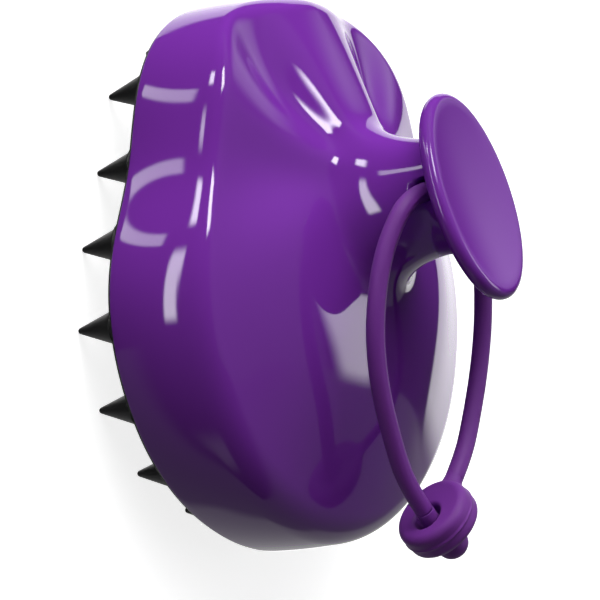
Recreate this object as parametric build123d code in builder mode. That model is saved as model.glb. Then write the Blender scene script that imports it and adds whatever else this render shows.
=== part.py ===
from build123d import *
import os
from math import atan2, cos, exp, hypot, pi, radians, remainder, sin, tan

os.makedirs("parts", exist_ok=True)

# A hand-held scalp brush. Z is up from the tips of the cones to the knob, Y runs along the
# hand towards the fingertips, and X goes across it. Lengths are in millimetres.

# Cones and pad
cone_length = 8.5
cone_foot_radius = 3.0
cone_tip_radius = 0.5
cone_ring_counts = (18, 12, 6)
cone_ring_sizes = (1.0, 0.665, 0.34)
cone_inset = 3.4
cone_ring_squeeze = 0.95
pad_lip_thickness = 0.5
pad_lip_inset = 0.3
pad_plug_thickness = 1.2
stud_radius = 1.5
stud_head_radius = 2.0
stud_head_height = 0.9

# Shell: the rim outline is a circle with a few waves round it, and a nose at +Y
outline_radius = 39.6
outline_waves = {1: -0.5, 2: 3.5, 3: 1.5, 5: -0.8, 6: -0.7, 7: -0.3}
nose_size = 0.7
nose_width = radians(13)
wall_thickness = 2.2
wall_height = 10.6
wall_lean_across = 0.06
wall_lean_along = 0.013
lean_fade = 0.35
rim_height = cone_length + pad_lip_thickness
cavity_wall_height = 9.6
cavity_top = 20.0
roof_thickness = 2.0

# Soft swells of the crown, the same on both sides: size, or depth if it is negative; angle
# from +Y at swell_datum and its drift per millimetre of height; width as an angle; height
# where it is strongest; and how far it reaches below and above that
swell_datum = 18.0
finger_groove = (-3.7, radians(28), radians(1.8), radians(12), 18.0, 7.0, 4.4)
waist_hollow = (-1.6, radians(62), radians(0.5), radians(20), 18.5, 4.0, 4.0)
heel_swell = (3.6, radians(180), 0.0, radians(57), 19.0, 4.0, 3.7)
side_swell = (1.0, radians(100), 0.0, radians(40), 19.0, 3.0, 3.0)
root_hollow = (-1.0, radians(95), 0.0, radians(40), 24.0, 2.2, 2.8)
swells = (finger_groove, waist_hollow, heel_swell, side_swell, root_hollow)

# Neck and knob
neck_y = 9.0
neck_half_width = 5.8
neck_half_length = 8.75
knob_y = 8.8
knob_face_height = rim_height + 41.3
knob_half_width = 10.2
knob_half_length = 16.2
knob_thickness = 2.6
knob_edge_radius = 1.2
knob_dish_depth = 0.9
knob_dish_margin = 1.5
knob_tilt = radians(13.9)
neck_top = 43.0
neck_pocket_height = rim_height + 27.5
peg_radius = 1.6
peg_spread = 5.0
peg_length = 7.0

# Base plate and screws
plate_inset = 3.5
plate_thickness = 2.6
boss_radius = 3.0
boss_circle = 26.0
boss_count = 5
screw_radius = 1.25
screw_length = 8.0
screw_tip_bite = 1.0
screw_head_radius = 2.4
screw_head_height = 1.3
knob_screw_radius = 0.9
knob_screw_length = 8.0
knob_screw_head_radius = 1.5
stud_circles = (29.0, 12.0)

# Strap
cord_radius = 1.4
strap_hole_radius = 1.8
strap_hole_y = neck_y + 1.05
strap_hole_z = rim_height + 35.4
eyelet_radius = 6.1
eyelet_hole_radius = 2.3
eyelet_thickness = 4.8
eyelet_hole_shift = 1.2
eyelet_edge_radius = 0.8
eyelet_stub_length = 1.6
stopper_radius = 2.5
stopper_height = 4.2
stopper_edge_radius = 1.9
seat_gap = 0.05

fine = 0.05


def outline(angle):
    """Radius of the rim outline at an angle from +Y towards -X."""
    nose = nose_size * exp(-((remainder(angle, 2 * pi) / nose_width) ** 2))
    waves = sum(size * cos(n * angle) for n, size in outline_waves.items())
    return outline_radius + nose + waves


def rim_point(angle, inset=0.0):
    radius = outline(angle) - inset
    return -radius * sin(angle), radius * cos(angle)


def lean_at(height):
    """Lean of the barrelled wall: it grows as a square and dies out over the shoulder."""
    share = height / wall_height
    if share < 1:
        return share**2
    over = min(share - 1, lean_fade)
    return 1 + 2 * over - over**2 / lean_fade


def crown_point(angle, share, height, inset=0.0):
    """A point share of the way from the barrelled wall to the oval neck."""
    lean = lean_at(height)
    x, y = rim_point(angle, inset)
    x *= 1 - wall_lean_across * lean
    y *= 1 - wall_lean_along * lean
    neck_x = -(neck_half_width - inset) * sin(angle)
    neck_point_y = neck_y + (neck_half_length - inset) * cos(angle)
    return x + share * (neck_x - x), y + share * (neck_point_y - y)


def closed_curve(point_at, count=72):
    """Points of a closed outline, one at each equal step of angle."""
    return [point_at(2 * pi * i / count) for i in range(count)]


def outline_prism(inset, bottom, top):
    with BuildPart() as prism:
        with BuildSketch(Plane.XY.offset(bottom)):
            with BuildLine():
                Spline(*closed_curve(lambda a: rim_point(a, inset)), periodic=True)
            make_face()
        extrude(amount=top - bottom)
    return prism.part


def even_ring(count, inset, size):
    """Centres spaced evenly along the inset outline, squeezed lengthwise and shrunk by size."""
    steps = 720
    outline_points = [rim_point(2 * pi * i / steps, inset) for i in range(steps + 1)]
    line = [(x, y * cone_ring_squeeze) for x, y in outline_points]
    lengths = [hypot(b[0] - a[0], b[1] - a[1]) for a, b in zip(line, line[1:])]
    pitch = sum(lengths) / count
    centres, walked = [], 0.0
    for start, length in zip(line, lengths):
        if walked >= len(centres) * pitch - fine and len(centres) < count:
            centres.append((start[0] * size, start[1] * size))
        walked += length
    return centres


def polar(radius, angle):
    return -radius * sin(angle), radius * cos(angle)


boss_turns = [2 * pi * i / boss_count for i in range(boss_count)]
boss_places = [polar(boss_circle, turn) for turn in boss_turns]
stud_places = [
    polar(circle, turn + pi / boss_count) for circle in stud_circles for turn in boss_turns
]
peg_places = [(0, neck_y - peg_spread), (0, neck_y + peg_spread)]
peg_bottom = knob_face_height - knob_thickness - peg_length
plate_bottom = rim_height + pad_plug_thickness
plate_top = plate_bottom + plate_thickness

# Shell

# Each profile runs up the middle of the shell, as joined Bezier curves: how far it has come
# in from the wall, with the neck at crown_reach, against the height above the rim.
crown_reach = 30.0
crown_curves = [
    ((0.0, wall_height), (0.0, 13.0), (1.0, 14.3), (3.0, 15.0)),
    ((3.0, 15.0), (9.0, 17.1), (18.5, 19.9), (23.0, 21.8)),
    ((23.0, 21.8), (27.5, 23.7), (29.5, 28.5), (crown_reach, 35.0)),
]
cavity_curves = [
    ((0.0, cavity_wall_height), (0.0, 11.4), (1.2, 12.4), (3.0, 13.0)),
    ((3.0, 13.0), (9.0, 15.3), (18.0, 17.8), (25.5, 19.6)),
]
crown_levels = [7.5, 8.5, 9.5, 10.5] + [11 + 0.5 * i for i in range(27)]
crown_levels += [25.0, 26.0, 28.0, 30.5, 33.0, 35.0, neck_top]
cavity_levels = [6.5, 7.5, 8.5, 9.5] + [10.25 + 0.75 * i for i in range(13)] + [cavity_top]


def swell(angle, height):
    """How far the crown is raised where it would be at a height above the rim."""
    turn = abs(remainder(angle, 2 * pi))
    rise = 0.0
    for size, centre, drift, width, middle, below, above in swells:
        aside = (turn - centre - drift * (height - swell_datum)) / width
        off = (height - middle) / (below if height < middle else above)
        rise += size * exp(-(aside**2) - off**2)
    return rise


def sampled(curves, steps=12):
    """Points up a profile of joined cubic Bezier curves."""
    points = []
    for start, first, second, end in curves:
        for step in range(steps + 1):
            t = step / steps
            weights = ((1 - t) ** 3, 3 * t * (1 - t) ** 2, 3 * t**2 * (1 - t), t**3)
            controls = (start, first, second, end)
            points.append([sum(w * c[i] for w, c in zip(weights, controls)) for i in (0, 1)])
    return points


def reach_at(profile, height):
    """How far in from the wall a profile is at a height."""
    for (near, low), (far, high) in zip(profile, profile[1:]):
        if height < high:
            return near + (far - near) * max(0.0, height - low) / (high - low)
    return profile[-1][0]


def height_before_swell(angle, height, wall, cover):
    """The height that the swells raise to the given one, found by halving the gap."""
    low, high = 0.0, neck_top
    while high - low > 0.001:
        middle = (low + high) / 2
        if middle + swell(angle, middle + cover) * min(1.0, middle / wall) < height:
            low = middle
        else:
            high = middle
    return low


def lofted_sections(curves, levels, inset, cover=0.0):
    """Level sections of the wall and of the crown above it, for a ruled loft."""
    profile = sampled(curves)
    wall = profile[0][1]
    sections = []
    for level in levels:

        def section_point(angle):
            reach = reach_at(profile, height_before_swell(angle, level, wall, cover))
            return crown_point(angle, reach / crown_reach, level, inset)

        with BuildSketch(Plane.XY.offset(rim_height + level)) as section:
            with BuildLine():
                Spline(*closed_curve(section_point), periodic=True)
            make_face()
        sections.append(section.sketch.face())
    return sections


knob_plane = Plane(
    origin=(0, knob_y, knob_face_height),
    x_dir=(1, 0, 0),
    z_dir=(0, sin(knob_tilt), cos(knob_tilt)),
)
knob_underside = knob_plane.offset(-knob_thickness)

with BuildPart() as hollow:
    cavity_sections = [-1.0, 5.0] + cavity_levels
    loft(lofted_sections(cavity_curves, cavity_sections, wall_thickness, roof_thickness), ruled=True)
    # The bosses are left standing in it, from the plate up to the roof
    with BuildSketch(Plane.XY.offset(plate_top)):
        with Locations(*boss_places):
            Circle(boss_radius)
    extrude(amount=neck_top, mode=Mode.SUBTRACT)

with BuildPart() as shell:
    loft(lofted_sections(crown_curves, [0.0, 5.0] + crown_levels, 0.0), ruled=True)
    add(hollow.part, mode=Mode.SUBTRACT)
    # The hollow of the neck stops under a solid head that carries the knob
    with BuildSketch(Plane.XY.offset(rim_height + cavity_top)):
        with Locations((0, neck_y)):
            Ellipse(neck_half_width - wall_thickness, neck_half_length - wall_thickness)
    extrude(amount=neck_pocket_height - rim_height - cavity_top, mode=Mode.SUBTRACT)
    split(bisect_by=knob_underside, keep=Keep.BOTTOM)
    # Sockets for the pegs of the knob, and the strap hole across the neck
    with BuildSketch(Plane.XY.offset(peg_bottom)):
        with Locations(*peg_places):
            Circle(peg_radius)
    extrude(amount=2 * peg_length, mode=Mode.SUBTRACT)
    with BuildSketch(Plane.XY.offset(neck_pocket_height)):
        with Locations(*peg_places):
            Circle(knob_screw_radius)
    extrude(amount=peg_bottom - neck_pocket_height, mode=Mode.SUBTRACT)
    with BuildSketch(Plane.YZ):
        with Locations((strap_hole_y, strap_hole_z)):
            Circle(strap_hole_radius)
    extrude(amount=2 * neck_half_width, both=True, mode=Mode.SUBTRACT)
    with BuildSketch(Plane.XY.offset(plate_top)):
        with Locations(*boss_places):
            Circle(screw_radius)
    extrude(amount=screw_length - screw_tip_bite, mode=Mode.SUBTRACT)
shell.part.label = "shell"
export_step(shell.part, "parts/shell.step")

# Knob: an oval plate with a rounded edge and a dished face, on two pegs

dish_size = (
    knob_half_width - knob_dish_margin,
    knob_half_length - knob_dish_margin,
    knob_dish_depth,
)
dish = scale(Sphere(1.0), by=dish_size)

with BuildPart() as knob:
    with BuildSketch(Plane.XY.offset(peg_bottom)):
        with Locations(*peg_places):
            Circle(peg_radius)
            Circle(knob_screw_radius, mode=Mode.SUBTRACT)
    extrude(amount=peg_length + 2 * knob_thickness)
    split(bisect_by=knob_plane.offset(-knob_thickness / 2), keep=Keep.BOTTOM)
    with BuildSketch(knob_underside):
        Ellipse(knob_half_width, knob_half_length)
    extrude(amount=knob_thickness)
    rims = knob.edges().filter_by(lambda edge: edge.length > 4 * knob_half_width)
    fillet(rims, radius=knob_edge_radius)
    add(knob_plane * dish, mode=Mode.SUBTRACT)
knob.part.label = "knob"
export_step(knob.part, "parts/knob.step")


def pan_head_screws(places, head_bottom, head_radius, head_height, shank_radius, length):
    """Upright screws, each with its head at the bottom and a cross recess in it."""
    with BuildPart() as screws:
        for x, y in places:
            with BuildSketch(Plane.XY.offset(head_bottom)):
                with Locations((x, y)):
                    Circle(head_radius)
            extrude(amount=head_height)
            with BuildSketch(Plane.XY.offset(head_bottom + head_height)):
                with Locations((x, y)):
                    Circle(shank_radius)
            extrude(amount=length)
            with BuildSketch(Plane.XY.offset(head_bottom)):
                with Locations((x, y)):
                    Rectangle(head_radius * 1.2, head_radius * 0.3)
                    Rectangle(head_radius * 0.3, head_radius * 1.2)
            extrude(amount=head_height * 0.5, mode=Mode.SUBTRACT)
    return screws.part


knob_screws = pan_head_screws(
    peg_places,
    neck_pocket_height - screw_head_height,
    knob_screw_head_radius,
    screw_head_height,
    knob_screw_radius,
    knob_screw_length,
)
knob_screws.label = "knob_screws"
export_step(knob_screws, "parts/knob_screws.step")

# Base plate: closes the shell and carries the pad

with BuildPart() as base_plate:
    add(outline_prism(plate_inset, plate_bottom, plate_top))
    with BuildSketch(Plane.XY.offset(plate_bottom)):
        with Locations(*boss_places):
            Circle(screw_radius + fine)
        with Locations(*stud_places):
            Circle(stud_radius + fine)
    extrude(amount=plate_thickness, mode=Mode.SUBTRACT)
    with BuildSketch(Plane.XY.offset(plate_bottom)):
        with Locations(*boss_places):
            Circle(screw_head_radius + fine)
    extrude(amount=screw_head_height, mode=Mode.SUBTRACT)
base_plate.part.label = "base_plate"
export_step(base_plate.part, "parts/base_plate.step")

plate_screws = pan_head_screws(
    boss_places,
    plate_bottom,
    screw_head_radius,
    screw_head_height,
    screw_radius,
    screw_length,
)
plate_screws.label = "plate_screws"
export_step(plate_screws, "parts/plate_screws.step")

# Pad: a silicone moulding with cones below, which are a node of their own, and studs above

cone_centres = [(0.0, 0.0)]
for count, size in zip(cone_ring_counts, cone_ring_sizes):
    cone_centres += even_ring(count, cone_inset, size)

with BuildPart() as cone:
    side_angle = atan2(cone_foot_radius - cone_tip_radius, cone_length - cone_tip_radius)
    tip_rise = cone_tip_radius * (1 - sin(side_angle))
    tip_reach = cone_tip_radius * cos(side_angle)
    with BuildSketch(Plane.XZ):
        with BuildLine():
            foot = (cone_foot_radius, cone_length)
            tip_side = (tip_reach, tip_rise)
            Polyline((0, 0), (0, cone_length), foot, tip_side)
            ThreePointArc(
                tip_side,
                (
                    cone_tip_radius * sin(radians(35)),
                    cone_tip_radius * (1 - cos(radians(35))),
                ),
                (0, 0),
            )
        make_face()
    revolve(axis=Axis.Z)

with BuildPart() as pad_cones:
    with Locations(*[(x, y, 0) for x, y in cone_centres]):
        add(cone.part)
pad_cones.part.label = "pad_cones"
export_step(pad_cones.part, "parts/pad_cones.step")

with BuildPart() as bristle_pad:
    add(outline_prism(pad_lip_inset, cone_length, rim_height))
    add(outline_prism(plate_inset, rim_height, plate_bottom))
    with BuildSketch(Plane.XY.offset(plate_bottom)):
        with Locations(*stud_places):
            Circle(stud_radius)
    extrude(amount=plate_thickness)
    with BuildSketch(Plane.XY.offset(plate_top)):
        with Locations(*stud_places):
            Circle(stud_head_radius)
    extrude(amount=stud_head_height, taper=20)
bristle_pad.part.label = "bristle_pad"
export_step(bristle_pad.part, "parts/bristle_pad.step")

# Strap: one moulded silicone cord that runs through the neck and closes on itself, with an
# eyelet on its +X end and a stopper on its -X end. Each half is routed from the middle of
# the strap hole: straight out, round towards -Y, and in again to the eyelet.

near_route = [
    (0, 10.05, 44.4),
    (-8.6, 10.05, 44.4),
    (-13.0, 1.9, 41.6),
    (-14.6, -8.1, 39.9),
    (-13.2, -17.6, 38.6),
    (-9.0, -27.6, 37.6),
    (-5.9, -33.5, 37.3),
    (-2.8, -37.4, 37.8),
]
far_route = [
    (0, 10.05, 44.4),
    (8.6, 10.05, 44.4),
    (13.2, 1.7, 41.6),
    (14.9, -8.1, 40.0),
    (13.9, -17.0, 38.9),
    (10.9, -25.6, 38.2),
    (8.5, -29.9, 38.1),
    (5.4, -33.2, 38.1),
]


def corner_radii(route):
    """The largest even bends: 0.45 of the shorter run over the tangent of half the turn."""
    radii = []
    for before, corner, after in zip(route, route[1:], route[2:]):
        run_in, run_out = Vector(*corner) - Vector(*before), Vector(*after) - Vector(*corner)
        half_turn = radians(run_in.get_angle(run_out)) / 2
        radii.append(0.45 * min(run_in.length, run_out.length) / tan(half_turn))
    return radii


def end_direction(route):
    return (Vector(*route[-1]) - Vector(*route[-2])).normalized()


def cord_half(route, name):
    """A round tube along a route, with the longest bend that each corner allows."""
    radii = corner_radii(route)
    with BuildPart() as half:
        with BuildLine() as path:
            FilletPolyline(*route, radius=radii)
        with BuildSketch(Plane(origin=route[0], z_dir=Vector(*route[1]) - Vector(*route[0]))):
            Circle(cord_radius)
        sweep()
    half.part.label = name
    length = sum(edge.length for edge in path.edges())
    share = half.part.volume / (pi * cord_radius**2 * length)
    print(name, "length", round(length, 1), "volume share", round(share, 4))
    print("  bend radii", [round(radius, 1) for radius in radii])
    return half.part


strap_near = cord_half(near_route, "strap_near")
export_step(strap_near, "parts/strap_near.step")
strap_far = cord_half(far_route, "strap_far")
export_step(strap_far, "parts/strap_far.step")

eyelet_reach = end_direction(far_route)
eyelet_axis = Vector(0.73, -0.68, 0.14).normalized()
eyelet_centre = Vector(*far_route[-1]) + eyelet_reach * (eyelet_radius + eyelet_stub_length)
face_centre = eyelet_centre - eyelet_axis * (eyelet_thickness / 2)
eyelet_plane = Plane(origin=face_centre, x_dir=eyelet_reach, z_dir=eyelet_axis)

with BuildPart() as strap_eyelet:
    with BuildSketch(eyelet_plane):
        Circle(eyelet_radius)
    extrude(amount=eyelet_thickness)
    fillet(strap_eyelet.edges().filter_by(GeomType.CIRCLE), radius=eyelet_edge_radius)
    with BuildSketch(Plane(origin=far_route[-1], z_dir=eyelet_reach)):
        Circle(cord_radius)
    extrude(amount=2 * eyelet_stub_length)
    with BuildSketch(eyelet_plane):
        with Locations((eyelet_hole_shift, 0)):
            Circle(eyelet_hole_radius)
    extrude(amount=eyelet_thickness, mode=Mode.SUBTRACT)
strap_eyelet.part.label = "strap_eyelet"
export_step(strap_eyelet.part, "parts/strap_eyelet.step")

stopper_seat = eyelet_centre + eyelet_reach * eyelet_hole_shift
stopper_seat += eyelet_axis * (eyelet_thickness / 2 + seat_gap)
stopper_plane = Plane(origin=stopper_seat, x_dir=eyelet_reach, z_dir=eyelet_axis)
stem_start = Vector(*near_route[-1])
stem_length = (stopper_seat - stem_start).length + 1.0

with BuildPart() as strap_stopper:
    with BuildSketch(stopper_plane):
        Circle(stopper_radius)
    extrude(amount=stopper_height)
    outward = Axis(origin=stopper_seat, direction=eyelet_axis)
    domed = strap_stopper.edges().sort_by(outward)[-1]
    fillet(domed, radius=stopper_edge_radius)
    with BuildSketch(Plane(origin=stem_start, z_dir=end_direction(near_route))):
        Circle(cord_radius)
    extrude(amount=stem_length)
strap_stopper.part.label = "strap_stopper"
export_step(strap_stopper.part, "parts/strap_stopper.step")
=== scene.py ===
import math

import bpy
from mathutils import Matrix, Vector
from mathutils.geometry import interpolate_bezier


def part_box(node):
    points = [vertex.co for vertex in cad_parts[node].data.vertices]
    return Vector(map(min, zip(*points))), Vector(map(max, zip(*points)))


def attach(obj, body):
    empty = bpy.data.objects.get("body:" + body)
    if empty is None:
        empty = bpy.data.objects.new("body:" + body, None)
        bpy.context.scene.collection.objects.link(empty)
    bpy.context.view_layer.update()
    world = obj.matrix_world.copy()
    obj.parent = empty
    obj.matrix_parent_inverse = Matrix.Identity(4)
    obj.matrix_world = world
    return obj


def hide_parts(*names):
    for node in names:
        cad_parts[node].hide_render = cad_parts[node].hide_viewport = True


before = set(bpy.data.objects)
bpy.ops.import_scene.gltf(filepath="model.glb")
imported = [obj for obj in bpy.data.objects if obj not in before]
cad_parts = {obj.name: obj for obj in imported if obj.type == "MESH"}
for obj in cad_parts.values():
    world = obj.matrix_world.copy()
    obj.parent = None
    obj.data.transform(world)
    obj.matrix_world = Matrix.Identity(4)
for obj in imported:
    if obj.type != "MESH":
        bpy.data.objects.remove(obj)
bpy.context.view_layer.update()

MM = 0.001
AROUND = 288
FUSE_VOXEL = 0.11

# Sizes in millimetres that the frame doesn't carry

OUTLINE_RADIUS = 39.6
OUTLINE_WAVES = {1: -0.5, 2: 3.5, 3: 1.5, 5: -0.8, 6: -0.7, 7: -0.3}
NOSE_SIZE = 0.7
NOSE_WIDTH = math.radians(13)
WALL_THICKNESS = 2.2
WALL_HEIGHT = 10.6
WALL_LEAN_ACROSS = 0.06
WALL_LEAN_ALONG = 0.013
LEAN_FADE = 0.35
CROWN_REACH = 30.0
# Radius of the rim's rounded lip; heights of the rings up the inner wall; height and depth of
# the cuts that blunt its inner edge; and how far the neck's top goes into the knob
LIP = 0.35
INNER_WALL_HEIGHTS = (7.0, 3.0, 0.25)
INNER_EDGE_CUTS = ((0.05, 0.2), (0.0, 0.5))
NECK_BITE = 0.6
# Soft swells of the crown, the same on both sides: size, or depth if it is negative; angle
# from +Y at SWELL_DATUM and its drift per millimetre of height; width as an angle; height
# above the rim where it is strongest; and how far it reaches below and above that
SWELL_DATUM = 18.0
FINGER_GROOVE = (-3.7, math.radians(28), math.radians(1.8), math.radians(12), 18.0, 7.0, 4.4)
WAIST_HOLLOW = (-1.6, math.radians(62), math.radians(0.5), math.radians(20), 18.5, 4.0, 4.0)
HEEL_SWELL = (3.6, math.radians(180), 0.0, math.radians(57), 19.0, 4.0, 3.7)
SIDE_SWELL = (1.0, math.radians(100), 0.0, math.radians(40), 19.0, 3.0, 3.0)
ROOT_HOLLOW = (-1.0, math.radians(95), 0.0, math.radians(40), 24.0, 2.2, 2.8)
SWELLS = (FINGER_GROOVE, WAIST_HOLLOW, HEEL_SWELL, SIDE_SWELL, ROOT_HOLLOW)
NECK_Y = 9.0
NECK_HALF = (5.8, 8.75)
KNOB_Y = 8.8
KNOB_RISE = 41.3
KNOB_HALF = (10.2, 16.2)
KNOB_THICKNESS = 2.6
KNOB_TILT = math.radians(13.9)
KNOB_DISH = 0.9
KNOB_UNDER_SHARE = 0.6
CORD_RADIUS = 1.4
SEAM_WIDTH = 0.07
SEAM_HEIGHT = 0.07
EYELET_RADIUS = 6.1
EYELET_HOLE_RADIUS = 2.3
EYELET_HOLE_SHIFT = 1.2
EYELET_THICKNESS = 4.8
EYELET_STUB = 1.6
EYELET_INNER_EDGE = 0.6
EYELET_OUTER_EDGE = 1.2
EYELET_SEAM_HALF_WIDTH = 0.25
EYELET_SEAM_HEIGHT = 0.2
STUB_FLARE = 1.1
STUB_BITE = 2.2
STUB_OVERLAP = 0.3
EYELET_AXIS = Vector((0.73, -0.68, 0.14)).normalized()
STOPPER_RADIUS = 2.5
STOPPER_HEIGHT = 4.2
STOPPER_EDGE = 0.4
STOPPER_FLATTENING = 0.3
STOPPER_GAP = 0.05
STEM_SWELL = 0.04
STEM_BEND = 0.4
STEM_BITE = 0.8
CONE_COUNTS = (18, 12, 6)
CONE_SIZES = (1.0, 0.665, 0.34)
CONE_INSET = 3.4
CONE_RING_SQUEEZE = 0.95
CONE_FOOT = 3.0
CONE_TIP = 0.5
CONE_ROOT_FLARE = 0.75
CONE_ROOT_HEIGHT = 0.7
CONE_ROOT_BITE = 0.2

RIM_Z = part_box("shell")[0][2] / MM
PAD_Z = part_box("bristle_pad")[0][2] / MM
PAD_INSET = 0.3
STRAP_HOLE = Vector((0.0, 10.05, 44.4))
HOLE_RADIUS = 1.8
HOLE_FLARE = 0.5
HOLE_REACH = 5.7

NEAR_ROUTE = [
    (0, 10.05, 44.4),
    (-8.6, 10.05, 44.4),
    (-13.0, 1.9, 41.6),
    (-14.6, -8.1, 39.9),
    (-13.2, -17.6, 38.6),
    (-9.0, -27.6, 37.6),
    (-5.9, -33.5, 37.3),
    (-2.8, -37.4, 37.8),
]
FAR_ROUTE = [
    (0, 10.05, 44.4),
    (8.6, 10.05, 44.4),
    (13.2, 1.7, 41.6),
    (14.9, -8.1, 40.0),
    (13.9, -17.0, 38.9),
    (10.9, -25.6, 38.2),
    (8.5, -29.9, 38.1),
    (5.4, -33.2, 38.1),
]


# Camera: low over the near side, with the hand direction upright in the picture. Its angles
# are elevation, turn and roll in degrees.
CAMERA_ANGLES = (36.2, -2.7, 6.4)
CAMERA_TARGET = Vector((0, 5.4, 9.0))
CAMERA_DISTANCE = 437.5
CAMERA_SHIFT = (6.5, -8.7)
CAMERA_LENS = 168.0


def add_camera():
    elevation, turn, roll = map(math.radians, CAMERA_ANGLES)
    away = Vector(
        (
            -math.cos(turn) * math.cos(elevation),
            math.sin(turn) * math.cos(elevation),
            math.sin(elevation),
        )
    )
    right = (Vector((0, 0, 1)) - away * away.z).normalized()
    up = away.cross(right)
    right, up = (
        math.cos(roll) * right - math.sin(roll) * up,
        math.sin(roll) * right + math.cos(roll) * up,
    )
    aside, above = CAMERA_SHIFT
    eye = CAMERA_TARGET + away * CAMERA_DISTANCE + right * aside + up * above
    data = bpy.data.cameras.new("camera")
    data.sensor_width = 36.0
    data.lens = CAMERA_LENS
    data.clip_start = 0.01
    camera = bpy.data.objects.new("camera", data)
    axes = Matrix((right, up, away)).transposed().to_4x4()
    camera.matrix_world = Matrix.Translation(eye * MM) @ axes
    bpy.context.collection.objects.link(camera)
    bpy.context.scene.camera = camera


# Mesh helpers


def make_object(name, points, faces, material, smooth=True):
    mesh = bpy.data.meshes.new(name)
    mesh.from_pydata([Vector(p) * MM for p in points], [], faces)
    mesh.validate()
    mesh.update()
    obj = bpy.data.objects.new(name, mesh)
    bpy.context.collection.objects.link(obj)
    mesh.materials.append(material)
    if smooth:
        mesh.shade_smooth()
    return obj


def grid_faces(rows, columns):
    """Quads of a tube of rows rings with columns points each."""
    faces = []
    for row in range(rows - 1):
        for column in range(columns):
            a = row * columns + column
            b = row * columns + (column + 1) % columns
            faces.append((a, b, b + columns, a + columns))
    return faces


def closed_tube(rings):
    """Points and faces of a tube whose two ends close on a centre point each."""
    columns = len(rings[0])
    points = [p for ring in rings for p in ring]
    faces = grid_faces(len(rings), columns)
    for ring, flip in ((0, True), (len(rings) - 1, False)):
        centre = sum((Vector(p) for p in rings[ring]), Vector()) / columns
        points.append(centre)
        hub = len(points) - 1
        for column in range(columns):
            a = ring * columns + column
            b = ring * columns + (column + 1) % columns
            faces.append((b, a, hub) if flip else (a, b, hub))
    return points, faces


def joined(parts):
    """Points and faces of several meshes as one list each."""
    points, faces = [], []
    for part_points, part_faces in parts:
        first = len(points)
        points += part_points
        faces += [tuple(first + i for i in face) for face in part_faces]
    return points, faces


def circle_angles(count):
    return [2 * math.pi * k / count for k in range(count)]


def bezier_row(segments, steps):
    """Points along joined Bezier segments, each (start, handle, handle, end)."""
    row = []
    for start, first, second, end in segments:
        part = interpolate_bezier(
            *[Vector((*p, 0)) for p in (start, first, second, end)], steps + 1
        )
        row += part if not row else part[1:]
    return row


# Shape of the body


def outline(angle):
    turn = math.remainder(angle, 2 * math.pi)
    nose = NOSE_SIZE * math.exp(-((turn / NOSE_WIDTH) ** 2))
    return OUTLINE_RADIUS + nose + sum(s * math.cos(n * angle) for n, s in OUTLINE_WAVES.items())


def rim_point(angle, inset):
    radius = outline(angle) - inset
    return -radius * math.sin(angle), radius * math.cos(angle)


def lean_at(height):
    """Lean of the barrelled wall: it grows as a square and dies out over the shoulder."""
    share = height / WALL_HEIGHT
    if share < 1:
        return share**2
    over = min(share - 1, LEAN_FADE)
    return 1 + 2 * over - over**2 / LEAN_FADE


def crown_point(angle, share, height, inset=0.0):
    """A point share of the way from the barrelled wall to the oval neck."""
    lean = lean_at(height)
    x, y = rim_point(angle, inset)
    x *= 1 - WALL_LEAN_ACROSS * lean
    y *= 1 - WALL_LEAN_ALONG * lean
    neck_x = -(NECK_HALF[0] - inset) * math.sin(angle)
    neck_y = NECK_Y + (NECK_HALF[1] - inset) * math.cos(angle)
    return x + share * (neck_x - x), y + share * (neck_y - y)


def swell(angle, height):
    """How far the crown is raised where it would be at a height above the rim."""
    turn = abs(math.remainder(angle, 2 * math.pi))
    rise = 0.0
    for size, centre, drift, width, middle, below, above in SWELLS:
        aside = (turn - centre - drift * (height - SWELL_DATUM)) / width
        off = (height - middle) / (below if height < middle else above)
        rise += size * math.exp(-(aside**2) - off**2)
    return rise


def knob_plane_z(x, y, offset):
    """Height of the tilted plane that lies offset under the knob's face."""
    normal = Vector((0, math.sin(KNOB_TILT), math.cos(KNOB_TILT)))
    centre = Vector((0, KNOB_Y, RIM_Z + KNOB_RISE)) - normal * offset
    return centre.z - (y - centre.y) * normal.y / normal.z


def shell_rings():
    angles = circle_angles(AROUND)

    def ring(height, inset):
        return [(*crown_point(a, 0, height, inset), RIM_Z + height) for a in angles]

    rings = [ring(height, WALL_THICKNESS) for height in INNER_WALL_HEIGHTS]
    rings += [ring(height, WALL_THICKNESS - depth) for height, depth in INNER_EDGE_CUTS]
    for step in range(7):
        turn = math.pi / 2 * step / 6
        rings.append(ring(LIP * (1 - math.cos(turn)), LIP * (1 - math.sin(turn))))
    crown = [Vector((0, LIP + (WALL_HEIGHT - LIP) * step / 10)) for step in range(1, 11)]
    shoulder = ((0, WALL_HEIGHT), (0, 13.0), (1.0, 14.3), (3.0, 15.0))
    top = ((3.0, 15.0), (9.0, 17.1), (18.5, 19.9), (23.0, 21.8))
    root = ((23.0, 21.8), (27.5, 23.7), (29.5, 28.5), (30.0, 35.0))
    crown += bezier_row([shoulder, top, root], 24)[1:]
    for point in crown:
        line = []
        for a in angles:
            height = point.y + swell(a, point.y) * min(1.0, point.y / WALL_HEIGHT)
            x, y = crown_point(a, point.x / CROWN_REACH, height)
            line.append((x, y, RIM_Z + height))
        rings.append(line)
    last = rings[-1]
    for step in range(1, 6):
        rings.append(
            [
                (x, y, z + (knob_plane_z(x, y, KNOB_THICKNESS - NECK_BITE) - z) * step / 5)
                for x, y, z in last
            ]
        )
    return rings


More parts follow.
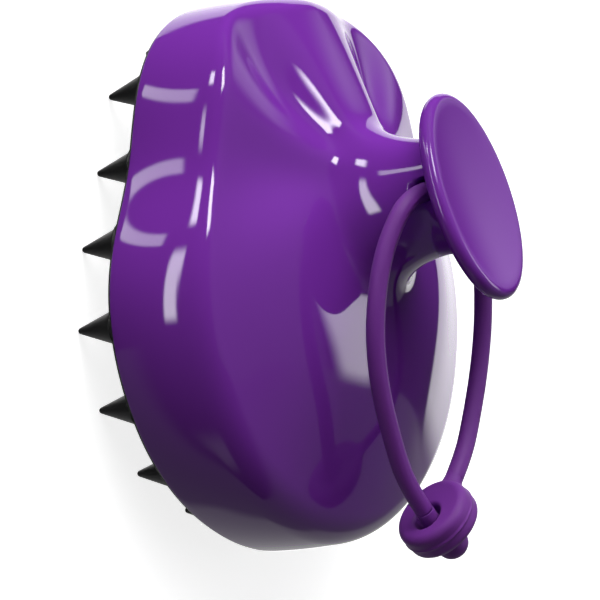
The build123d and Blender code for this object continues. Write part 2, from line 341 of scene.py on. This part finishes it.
def flared_cutter(name, radius, flare, reach):
    """A rod along X that opens out towards both ends, to cut a hole with rounded mouths."""
    rings = []
    for step in range(-24, 25):
        x = step / 24 * (reach + 2)
        over = max(0.0, abs(x) - reach + flare)
        r = radius + flare - math.sqrt(max(0.0, flare**2 - min(over, flare) ** 2))
        rings.append(
            [
                (x, STRAP_HOLE.y + r * math.cos(a), STRAP_HOLE.z + r * math.sin(a))
                for a in circle_angles(48)
            ]
        )
    points, faces = closed_tube(rings)
    return make_object(name, points, faces, MATERIALS["shell"])


def apply_modifiers(obj):
    """Replaces the object's mesh by what its modifiers make of it."""
    depsgraph = bpy.context.evaluated_depsgraph_get()
    mesh = bpy.data.meshes.new_from_object(obj.evaluated_get(depsgraph))
    obj.modifiers.clear()
    obj.data = mesh


def cut(obj, cutter):
    boolean = obj.modifiers.new("cut", "BOOLEAN")
    boolean.object = cutter
    boolean.operation = "DIFFERENCE"
    boolean.solver = "EXACT"
    apply_modifiers(obj)
    bpy.data.objects.remove(cutter)


def fuse(obj, voxel, smoothing):
    """Melts joined closed meshes into one skin with softened inner corners."""
    remesh = obj.modifiers.new("fuse", "REMESH")
    remesh.mode = "VOXEL"
    remesh.voxel_size = voxel * MM
    remesh.use_smooth_shade = True
    smooth = obj.modifiers.new("smooth", "SMOOTH")
    smooth.iterations = smoothing
    smooth.factor = 0.5
    apply_modifiers(obj)


def build_shell():
    points, faces = closed_tube(shell_rings())
    shell = make_object("shell_skin", points, faces, MATERIALS["shell"])
    cut(shell, flared_cutter("strap_hole_cutter", HOLE_RADIUS, HOLE_FLARE, HOLE_REACH))
    shell.data.shade_smooth()
    return shell


def knob_rows():
    """Half sizes and heights of ovals from the middle of the dish over the edge and under."""
    half_x, half_y = KNOB_HALF
    edge = KNOB_THICKNESS / 2
    rows = []
    for step in range(1, 13):
        share = step / 12
        depth = KNOB_DISH * (1 - share**2)
        rows.append(((half_x - edge) * share, (half_y - edge) * share, -depth))
    for step in range(1, 17):
        turn = math.pi * step / 16
        inset = edge * (1 - math.sin(turn))
        rows.append((half_x - inset, half_y - inset, edge * (math.cos(turn) - 1)))
    rows.append((half_x * KNOB_UNDER_SHARE, half_y * KNOB_UNDER_SHARE, -KNOB_THICKNESS))
    return rows


def build_knob():
    tilt = Matrix.Rotation(-KNOB_TILT, 3, "X")
    centre = Vector((0, KNOB_Y, RIM_Z + KNOB_RISE))
    rings = []
    for half_x, half_y, depth in knob_rows():
        ring = []
        for a in circle_angles(AROUND):
            place = Vector((-half_x * math.sin(a), half_y * math.cos(a), depth))
            ring.append(centre + tilt @ place)
        rings.append(ring)
    points, faces = closed_tube(rings[::-1])
    return make_object("knob_skin", points, faces, MATERIALS["knob"])


def build_pad():
    angles = circle_angles(AROUND)
    edge = (RIM_Z - PAD_Z) / 2
    rings = []
    for step in range(9):
        turn = math.pi * step / 8
        inset = PAD_INSET + edge * (1 - math.sin(turn))
        height = PAD_Z + edge * (1 - math.cos(turn))
        rings.append([(*rim_point(a, inset), height) for a in angles])
    points, faces = closed_tube(rings)
    return make_object("pad_skin", points, faces, MATERIALS["pad"])


def even_ring(count, size):
    """Centres of a ring of cones, evenly spaced along the squeezed outline."""
    steps, slack = 720, 0.05
    outline_points = [rim_point(2 * math.pi * i / steps, CONE_INSET) for i in range(steps + 1)]
    line = [(x, y * CONE_RING_SQUEEZE) for x, y in outline_points]
    lengths = [math.dist(a, b) for a, b in zip(line, line[1:])]
    pitch = sum(lengths) / count
    centres, walked = [], 0.0
    for start, length in zip(line, lengths):
        if walked >= len(centres) * pitch - slack and len(centres) < count:
            centres.append((start[0] * size, start[1] * size))
        walked += length
    return centres


def cone_profile():
    """Radius and height from the tip up into the pad, with a soft root."""
    slope = math.atan2(CONE_FOOT - CONE_TIP, PAD_Z - CONE_TIP)
    profile = []
    for step in range(1, 9):
        turn = (math.pi / 2 - slope) * step / 8
        profile.append((CONE_TIP * math.sin(turn), CONE_TIP * (1 - math.cos(turn))))
    tip_radius, tip_height = profile[-1]
    for step in range(1, 9):
        height = tip_height + (PAD_Z - CONE_ROOT_HEIGHT - tip_height) * step / 8
        share = (height - tip_height) / (PAD_Z - tip_height)
        profile.append((tip_radius + (CONE_FOOT - tip_radius) * share, height))
    side_radius = profile[-1][0]
    for step in range(1, 6):
        turn = math.pi / 2 * step / 5
        radius = side_radius + CONE_ROOT_FLARE * (1 - math.cos(turn))
        profile.append((radius, PAD_Z - CONE_ROOT_HEIGHT * (1 - math.sin(turn))))
    profile.append((profile[-1][0], PAD_Z + CONE_ROOT_BITE))
    return profile


def build_cones():
    centres = [(0.0, 0.0)]
    for count, size in zip(CONE_COUNTS, CONE_SIZES):
        centres += even_ring(count, size)
    profile, turns = cone_profile(), circle_angles(40)
    cones = []
    for x, y in centres:
        rings = [
            [(x + r * math.cos(a), y + r * math.sin(a), z) for a in turns] for r, z in profile
        ]
        cones.append(closed_tube(rings))
    points, faces = joined(cones)
    return make_object("cones_skin", points, faces, MATERIALS["cones"])


# Strap


def route_points(name, route):
    """Points down the middle of a cord, read from the smooth curve through its route."""
    data = bpy.data.curves.new(name, "CURVE")
    data.dimensions = "3D"
    spline = data.splines.new("NURBS")
    spline.points.add(len(route) - 1)
    for point, place in zip(spline.points, route):
        point.co = (*(Vector(place) * MM), 1)
    spline.order_u = 3
    spline.use_endpoint_u = True
    spline.resolution_u = 24
    obj = bpy.data.objects.new(name, data)
    bpy.context.collection.objects.link(obj)
    mesh = bpy.data.meshes.new_from_object(obj)
    line = [v.co / MM for v in mesh.vertices]
    bpy.data.objects.remove(obj)
    return line


def cord_section(angle):
    """Radius of the cord's section, with the mould's parting line along two sides."""
    seam = math.exp(-((math.sin(angle) / SEAM_WIDTH) ** 2))
    return CORD_RADIUS + SEAM_HEIGHT * seam


def tube_rings(line, section):
    """Rings across a line, each point as far out as section gives for its angle."""
    rings = []
    for i, place in enumerate(line):
        before, after = line[max(i - 1, 0)], line[min(i + 1, len(line) - 1)]
        along = (after - before).normalized()
        side = (Vector((0, 0, 1)) - along * along.z).normalized()
        other = along.cross(side)
        ring = []
        for a in circle_angles(48):
            r = section(a)
            ring.append(place + side * (r * math.cos(a)) + other * (r * math.sin(a)))
        rings.append(ring)
    return rings


def build_cord(name, route):
    line = route_points(name + "_line", route)
    points, faces = closed_tube(tube_rings(line, cord_section))
    return make_object(name, points, faces, MATERIALS["strap"]), line


def plane_axes(axis, reach):
    """Two directions square to axis, the first of them nearest to reach."""
    reach = (reach - axis * reach.dot(axis)).normalized()
    return reach, axis.cross(reach)


def end_heading(line):
    """Direction in which a line ends."""
    return (line[-1] - line[-6]).normalized()


def eyelet_section(reach_out):
    """Rounded section of the ring, from its hole out to reach_out, with a seam outside."""
    half = EYELET_THICKNESS / 2
    inner, outer = EYELET_INNER_EDGE, EYELET_OUTER_EDGE
    quarter = math.pi / 2
    corners = [
        (EYELET_HOLE_RADIUS + inner, half - inner, inner, 2 * quarter, quarter),
        (reach_out - outer, half - outer, outer, quarter, 0),
        (reach_out - outer, -half + outer, outer, 0, -quarter),
        (EYELET_HOLE_RADIUS + inner, -half + inner, inner, -quarter, -2 * quarter),
    ]
    section = []
    for index, (u, v, r, start, stop) in enumerate(corners):
        for step in range(7):
            t = start + (stop - start) * step / 6
            section.append((u + r * math.cos(t), v + r * math.sin(t)))
        if index == 1:
            section.append((reach_out, EYELET_SEAM_HALF_WIDTH))
            section.append((reach_out + EYELET_SEAM_HEIGHT, 0.0))
            section.append((reach_out, -EYELET_SEAM_HALF_WIDTH))
    return section


def eyelet_ring(centre, across, side):
    """The ring, whose hole sits EYELET_HOLE_SHIFT off its middle."""
    shift = EYELET_HOLE_SHIFT
    hub = centre + across * shift
    rings = []
    for a in circle_angles(120):
        direction = across * math.cos(a) + side * math.sin(a)
        far = math.sqrt(EYELET_RADIUS**2 - (shift * math.sin(a)) ** 2)
        section = eyelet_section(far - shift * math.cos(a))
        rings.append([hub + direction * u + EYELET_AXIS * v for u, v in section])
    points = [p for ring in rings for p in ring]
    columns = len(rings[0])
    faces = grid_faces(len(rings), columns)
    last = (len(rings) - 1) * columns
    for column in range(columns):
        after = (column + 1) % columns
        faces.append((last + column, last + after, after, column))
    return points, faces


def eyelet_stub(end, reach, across):
    """The cord's end, which widens into the ring."""
    half = EYELET_THICKNESS / 2
    side = across.cross(EYELET_AXIS)
    rings = []
    for step in range(13):
        share = step / 12
        radius = CORD_RADIUS + STUB_FLARE * share**2
        place = end + reach * ((EYELET_STUB + STUB_BITE) * share - STUB_OVERLAP)
        rings.append(
            [
                place
                + side * (radius * math.cos(a))
                + EYELET_AXIS * (min(radius, half) * math.sin(a))
                for a in circle_angles(48)
            ]
        )
    return closed_tube(rings)


def build_eyelet(far_line):
    end, reach = far_line[-1], end_heading(far_line)
    centre = end + reach * (EYELET_RADIUS + EYELET_STUB)
    across, side = plane_axes(EYELET_AXIS, reach)
    points, faces = joined([eyelet_ring(centre, across, side), eyelet_stub(end, reach, across)])
    eyelet = make_object("eyelet_skin", points, faces, MATERIALS["strap"])
    fuse(eyelet, FUSE_VOXEL, 5)
    return eyelet, centre, across


def stopper_profile():
    """Radius and height of the head, from its rounded foot up over its dome."""
    edge = STOPPER_EDGE
    profile = [(STOPPER_RADIUS - edge, 0.0)]
    for step in range(1, 5):
        turn = math.pi / 2 * step / 4
        radius = STOPPER_RADIUS - edge * (1 - math.sin(turn))
        profile.append((radius, edge * (1 - math.cos(turn))))
    dome = STOPPER_RADIUS - STOPPER_FLATTENING
    for step in range(10):
        turn = math.pi / 2 * step / 10
        height = STOPPER_HEIGHT - dome * (1 - math.sin(turn))
        profile.append((STOPPER_RADIUS * math.cos(turn), height))
    return profile


def stem_section(angle):
    """Radius of the stem, the same all round and a little over the cord's."""
    return CORD_RADIUS + STEM_SWELL


def build_stopper(near_line, eyelet_centre, across):
    start = near_line[-1]
    foot = EYELET_THICKNESS / 2 + STOPPER_GAP
    seat = eyelet_centre + across * EYELET_HOLE_SHIFT + EYELET_AXIS * foot
    bend = (seat - start).length * STEM_BEND
    handles = start + end_heading(near_line) * bend, seat - EYELET_AXIS * bend
    path = interpolate_bezier(start, *handles, seat + EYELET_AXIS * STEM_BITE, 24)
    stem = closed_tube(tube_rings([Vector(p) for p in path], stem_section))
    side = EYELET_AXIS.cross(across)
    head = []
    for radius, height in stopper_profile():
        centre = seat + EYELET_AXIS * height
        head.append(
            [
                centre + across * (radius * math.cos(a)) + side * (radius * math.sin(a))
                for a in circle_angles(64)
            ]
        )
    points, faces = joined([stem, closed_tube(head)])
    stopper = make_object("stopper_skin", points, faces, MATERIALS["strap"])
    fuse(stopper, FUSE_VOXEL, 4)
    return stopper


# Materials


def material(name, colour, roughness, detail, bump, sheen=0.0):
    """A moulded plastic: faint colour and gloss variation, and a fine surface relief."""
    made = bpy.data.materials.new(name)
    made.use_nodes = True
    nodes, links = made.node_tree.nodes, made.node_tree.links
    shader = nodes["Principled BSDF"]
    shader.inputs["IOR"].default_value = 1.5
    shader.inputs["Sheen Weight"].default_value = sheen
    place = nodes.new("ShaderNodeTexCoord")
    cloud = nodes.new("ShaderNodeTexNoise")
    cloud.inputs["Scale"].default_value = 45.0
    cloud.inputs["Detail"].default_value = 4.0
    links.new(place.outputs["Object"], cloud.inputs["Vector"])
    tint = nodes.new("ShaderNodeMix")
    tint.data_type = "RGBA"
    low = [c * (1 - detail) for c in colour]
    high = [min(1.0, c * (1 + detail)) for c in colour]
    tint.inputs["A"].default_value = (*low, 1)
    tint.inputs["B"].default_value = (*high, 1)
    links.new(cloud.outputs["Fac"], tint.inputs["Factor"])
    links.new(tint.outputs["Result"], shader.inputs["Base Color"])
    smear = nodes.new("ShaderNodeTexNoise")
    smear.inputs["Scale"].default_value = 160.0
    smear.inputs["Detail"].default_value = 6.0
    links.new(place.outputs["Object"], smear.inputs["Vector"])
    gloss = nodes.new("ShaderNodeMapRange")
    gloss.inputs["To Min"].default_value = roughness[0]
    gloss.inputs["To Max"].default_value = roughness[1]
    links.new(smear.outputs["Fac"], gloss.inputs["Value"])
    links.new(gloss.outputs["Result"], shader.inputs["Roughness"])
    grain = nodes.new("ShaderNodeTexNoise")
    grain.inputs["Scale"].default_value = bump[0]
    grain.inputs["Detail"].default_value = 3.0
    links.new(place.outputs["Object"], grain.inputs["Vector"])
    relief = nodes.new("ShaderNodeBump")
    relief.inputs["Strength"].default_value = bump[1]
    relief.inputs["Distance"].default_value = bump[2]
    links.new(grain.outputs["Fac"], relief.inputs["Height"])
    links.new(relief.outputs["Normal"], shader.inputs["Normal"])
    return made


PURPLE = (0.2, 0.03, 0.4)
SOFT_PURPLE = (0.19, 0.026, 0.33)
BLACK = (0.012, 0.012, 0.013)
# Surface relief: scale of the grain, strength and depth in metres
POLISHED = (260.0, 0.05, 0.00002)
SATIN = (1500.0, 0.3, 0.00003)
MATERIALS = {
    "shell": material("gloss_purple_shell", PURPLE, (0.03, 0.06), 0.05, POLISHED),
    "knob": material("gloss_purple_knob", PURPLE, (0.12, 0.18), 0.05, POLISHED),
    "pad": material("black_silicone_pad", BLACK, (0.45, 0.6), 0.2, SATIN),
    "cones": material("black_silicone_cones", BLACK, (0.4, 0.55), 0.2, SATIN),
    "strap": material("purple_silicone_strap", SOFT_PURPLE, (0.5, 0.65), 0.08, SATIN, sheen=0.04),
    "inner": material("inner_black_plastic", (0.03, 0.03, 0.032), (0.4, 0.6), 0.15, SATIN),
    "steel": material("zinc_plated_steel", (0.5, 0.5, 0.52), (0.25, 0.4), 0.1, SATIN),
    "floor": material("pale_floor", (0.9, 0.9, 0.9), (0.5, 0.6), 0.01, POLISHED),
}
MATERIALS["steel"].node_tree.nodes["Principled BSDF"].inputs["Metallic"].default_value = 1.0

FLOOR_HALF_SIZE = 3000.0
FLOOR_GLOW = 0.8


def add_floor():
    """A pale floor that glows a little and keeps out of the brush's gloss and its light."""
    size = FLOOR_HALF_SIZE
    points = [(-size, -size, 0), (size, -size, 0), (size, size, 0), (-size, size, 0)]
    floor = make_object("floor", points, [(0, 1, 2, 3)], MATERIALS["floor"], smooth=False)
    shader = MATERIALS["floor"].node_tree.nodes["Principled BSDF"]
    shader.inputs["Emission Color"].default_value = (1, 1, 1, 1)
    shader.inputs["Emission Strength"].default_value = FLOOR_GLOW
    floor.visible_glossy = False
    floor.visible_diffuse = False
    floor.visible_shadow = False


# The studio round the brush, as soft windows of light on a far sphere. Azimuth runs from the
# camera (0) to the right of its picture (90) and round the back (180); elevation runs up the
# picture. Each window: azimuths, elevations, softness of its sides and of its ends, radiance.
STUDIO_FRONT = (-0.81, 0.0, 0.59)
STUDIO_RIGHT = (0.59, 0.0, 0.81)
STUDIO_UP = (0.0, 1.0, 0.0)
WINDOWS = [
    ((24, 39), (32, 46), 3, 2, 20.0),
    ((-33, -19), (43, 50), 3, 1.5, 16.0),
    ((-85, -45), (36.5, 41), 2, 0.7, 5.5),
    ((-36, -30), (-2, 33), 1, 3, 10.0),
    ((82, 95), (-12, 16), 3, 3, 5.2),
    ((86, 125), (18, 32), 12, 9, 1.3),
    ((40, 76), (-12, 90), 5, 1, 0.22),
    ((-50, -20), (-68, -52), 6, 6, 0.4),
]
SURROUND_WINDOWS = [
    ((143, 190), (-10, 52), 1, 3, 1.6),
    ((60, 190), (-95, -12), 10, 1, 0.2),
    ((140, 190), (-60, -12), 6, 4, 0.3),
]
STUDIO_GREY = 0.04
# The soft light that matt surfaces see: a glow round one direction, and a little everywhere
GLOW_DIRECTION = Vector((-0.14, 0.9, 0.41)).normalized()
GLOW = 6.2
GLOW_SPREAD = 8.0
FILL = 0.09
BACKDROP = 1.0


def add_world():
    """Windows of light in a dark grey room for gloss, a soft glow for matt, and a backdrop."""
    world = bpy.data.worlds.new("studio")
    world.use_nodes = True
    nodes, links = world.node_tree.nodes, world.node_tree.links
    place = nodes.new("ShaderNodeTexCoord")

    def along(axis):
        node = nodes.new("ShaderNodeVectorMath")
        node.operation = "DOT_PRODUCT"
        node.inputs[1].default_value = axis
        links.new(place.outputs["Generated"], node.inputs[0])
        return node.outputs["Value"]

    def feed(value, socket):
        if isinstance(value, (int, float)):
            socket.default_value = value
        else:
            links.new(value, socket)

    def combine(operation, *values):
        node = nodes.new("ShaderNodeMath")
        node.operation = operation
        for socket, value in zip(node.inputs, values):
            feed(value, socket)
        return node.outputs["Value"]

    def step(value, start, stop):
        node = nodes.new("ShaderNodeMapRange")
        node.interpolation_type = "SMOOTHSTEP"
        node.inputs["From Min"].default_value = math.radians(start)
        node.inputs["From Max"].default_value = math.radians(stop)
        links.new(value, node.inputs["Value"])
        return node.outputs["Result"]

    def between(value, limits, soft):
        low, high = limits
        rise = step(value, low - soft, low + soft)
        return combine("MULTIPLY", rise, step(value, high + soft, high - soft))

    azimuth = combine("ARCTAN2", along(STUDIO_RIGHT), along(STUDIO_FRONT))
    elevation = combine("ARCSINE", along(STUDIO_UP))
    either_side = combine("ABSOLUTE", azimuth)
    total = STUDIO_GREY
    for turn, table in ((azimuth, WINDOWS), (either_side, SURROUND_WINDOWS)):
        for across, upright, side_soft, end_soft, radiance in table:
            sides, ends = between(turn, across, side_soft), between(elevation, upright, end_soft)
            shape = combine("MULTIPLY", sides, ends)
            total = combine("ADD", total, combine("MULTIPLY", shape, radiance))
    glow = combine("POWER", combine("MAXIMUM", along(GLOW_DIRECTION), 0.0), GLOW_SPREAD)
    soft_light = combine("MULTIPLY_ADD", glow, GLOW, FILL)
    ray = nodes.new("ShaderNodeLightPath")

    def choose(kind, otherwise, value):
        node = nodes.new("ShaderNodeMix")
        feed(ray.outputs[kind], node.inputs["Factor"])
        feed(otherwise, node.inputs["A"])
        feed(value, node.inputs["B"])
        return node.outputs["Result"]

    strength = choose("Is Diffuse Ray", total, soft_light)
    strength = choose("Is Camera Ray", strength, BACKDROP)
    nodes["Background"].inputs["Color"].default_value = (1, 1, 1, 1)
    links.new(strength, nodes["Background"].inputs["Strength"])
    # Sampled by the rays that leave a surface, so that each kind of ray meets its own light
    world.cycles.sampling_method = "NONE"
    bpy.context.scene.world = world


def main():
    scene = bpy.context.scene
    scene.view_settings.view_transform = "Standard"
    add_camera()
    add_world()
    near, near_line = build_cord("near_cord", NEAR_ROUTE)
    far, far_line = build_cord("far_cord", FAR_ROUTE)
    eyelet, eyelet_centre, across = build_eyelet(far_line)
    stopper = build_stopper(near_line, eyelet_centre, across)
    shell, knob, pad, cones = build_shell(), build_knob(), build_pad(), build_cones()
    for piece, node, slot in (
        (shell, "shell", "gloss_shell"),
        (knob, "knob", "gloss_knob"),
        (pad, "bristle_pad", "black_silicone"),
        (cones, "pad_cones", "black_silicone"),
    ):
        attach(piece, "brush")
        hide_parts(node)
    for piece, node in (
        (near, "strap_near"),
        (far, "strap_far"),
        (eyelet, "strap_eyelet"),
        (stopper, "strap_stopper"),
    ):
        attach(piece, "strap")
        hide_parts(node)
    for node, look in (("base_plate", "inner"), ("plate_screws", "steel"), ("knob_screws", "steel")):
        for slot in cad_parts[node].material_slots:
            slot.material = MATERIALS[look]
    add_floor()


main()
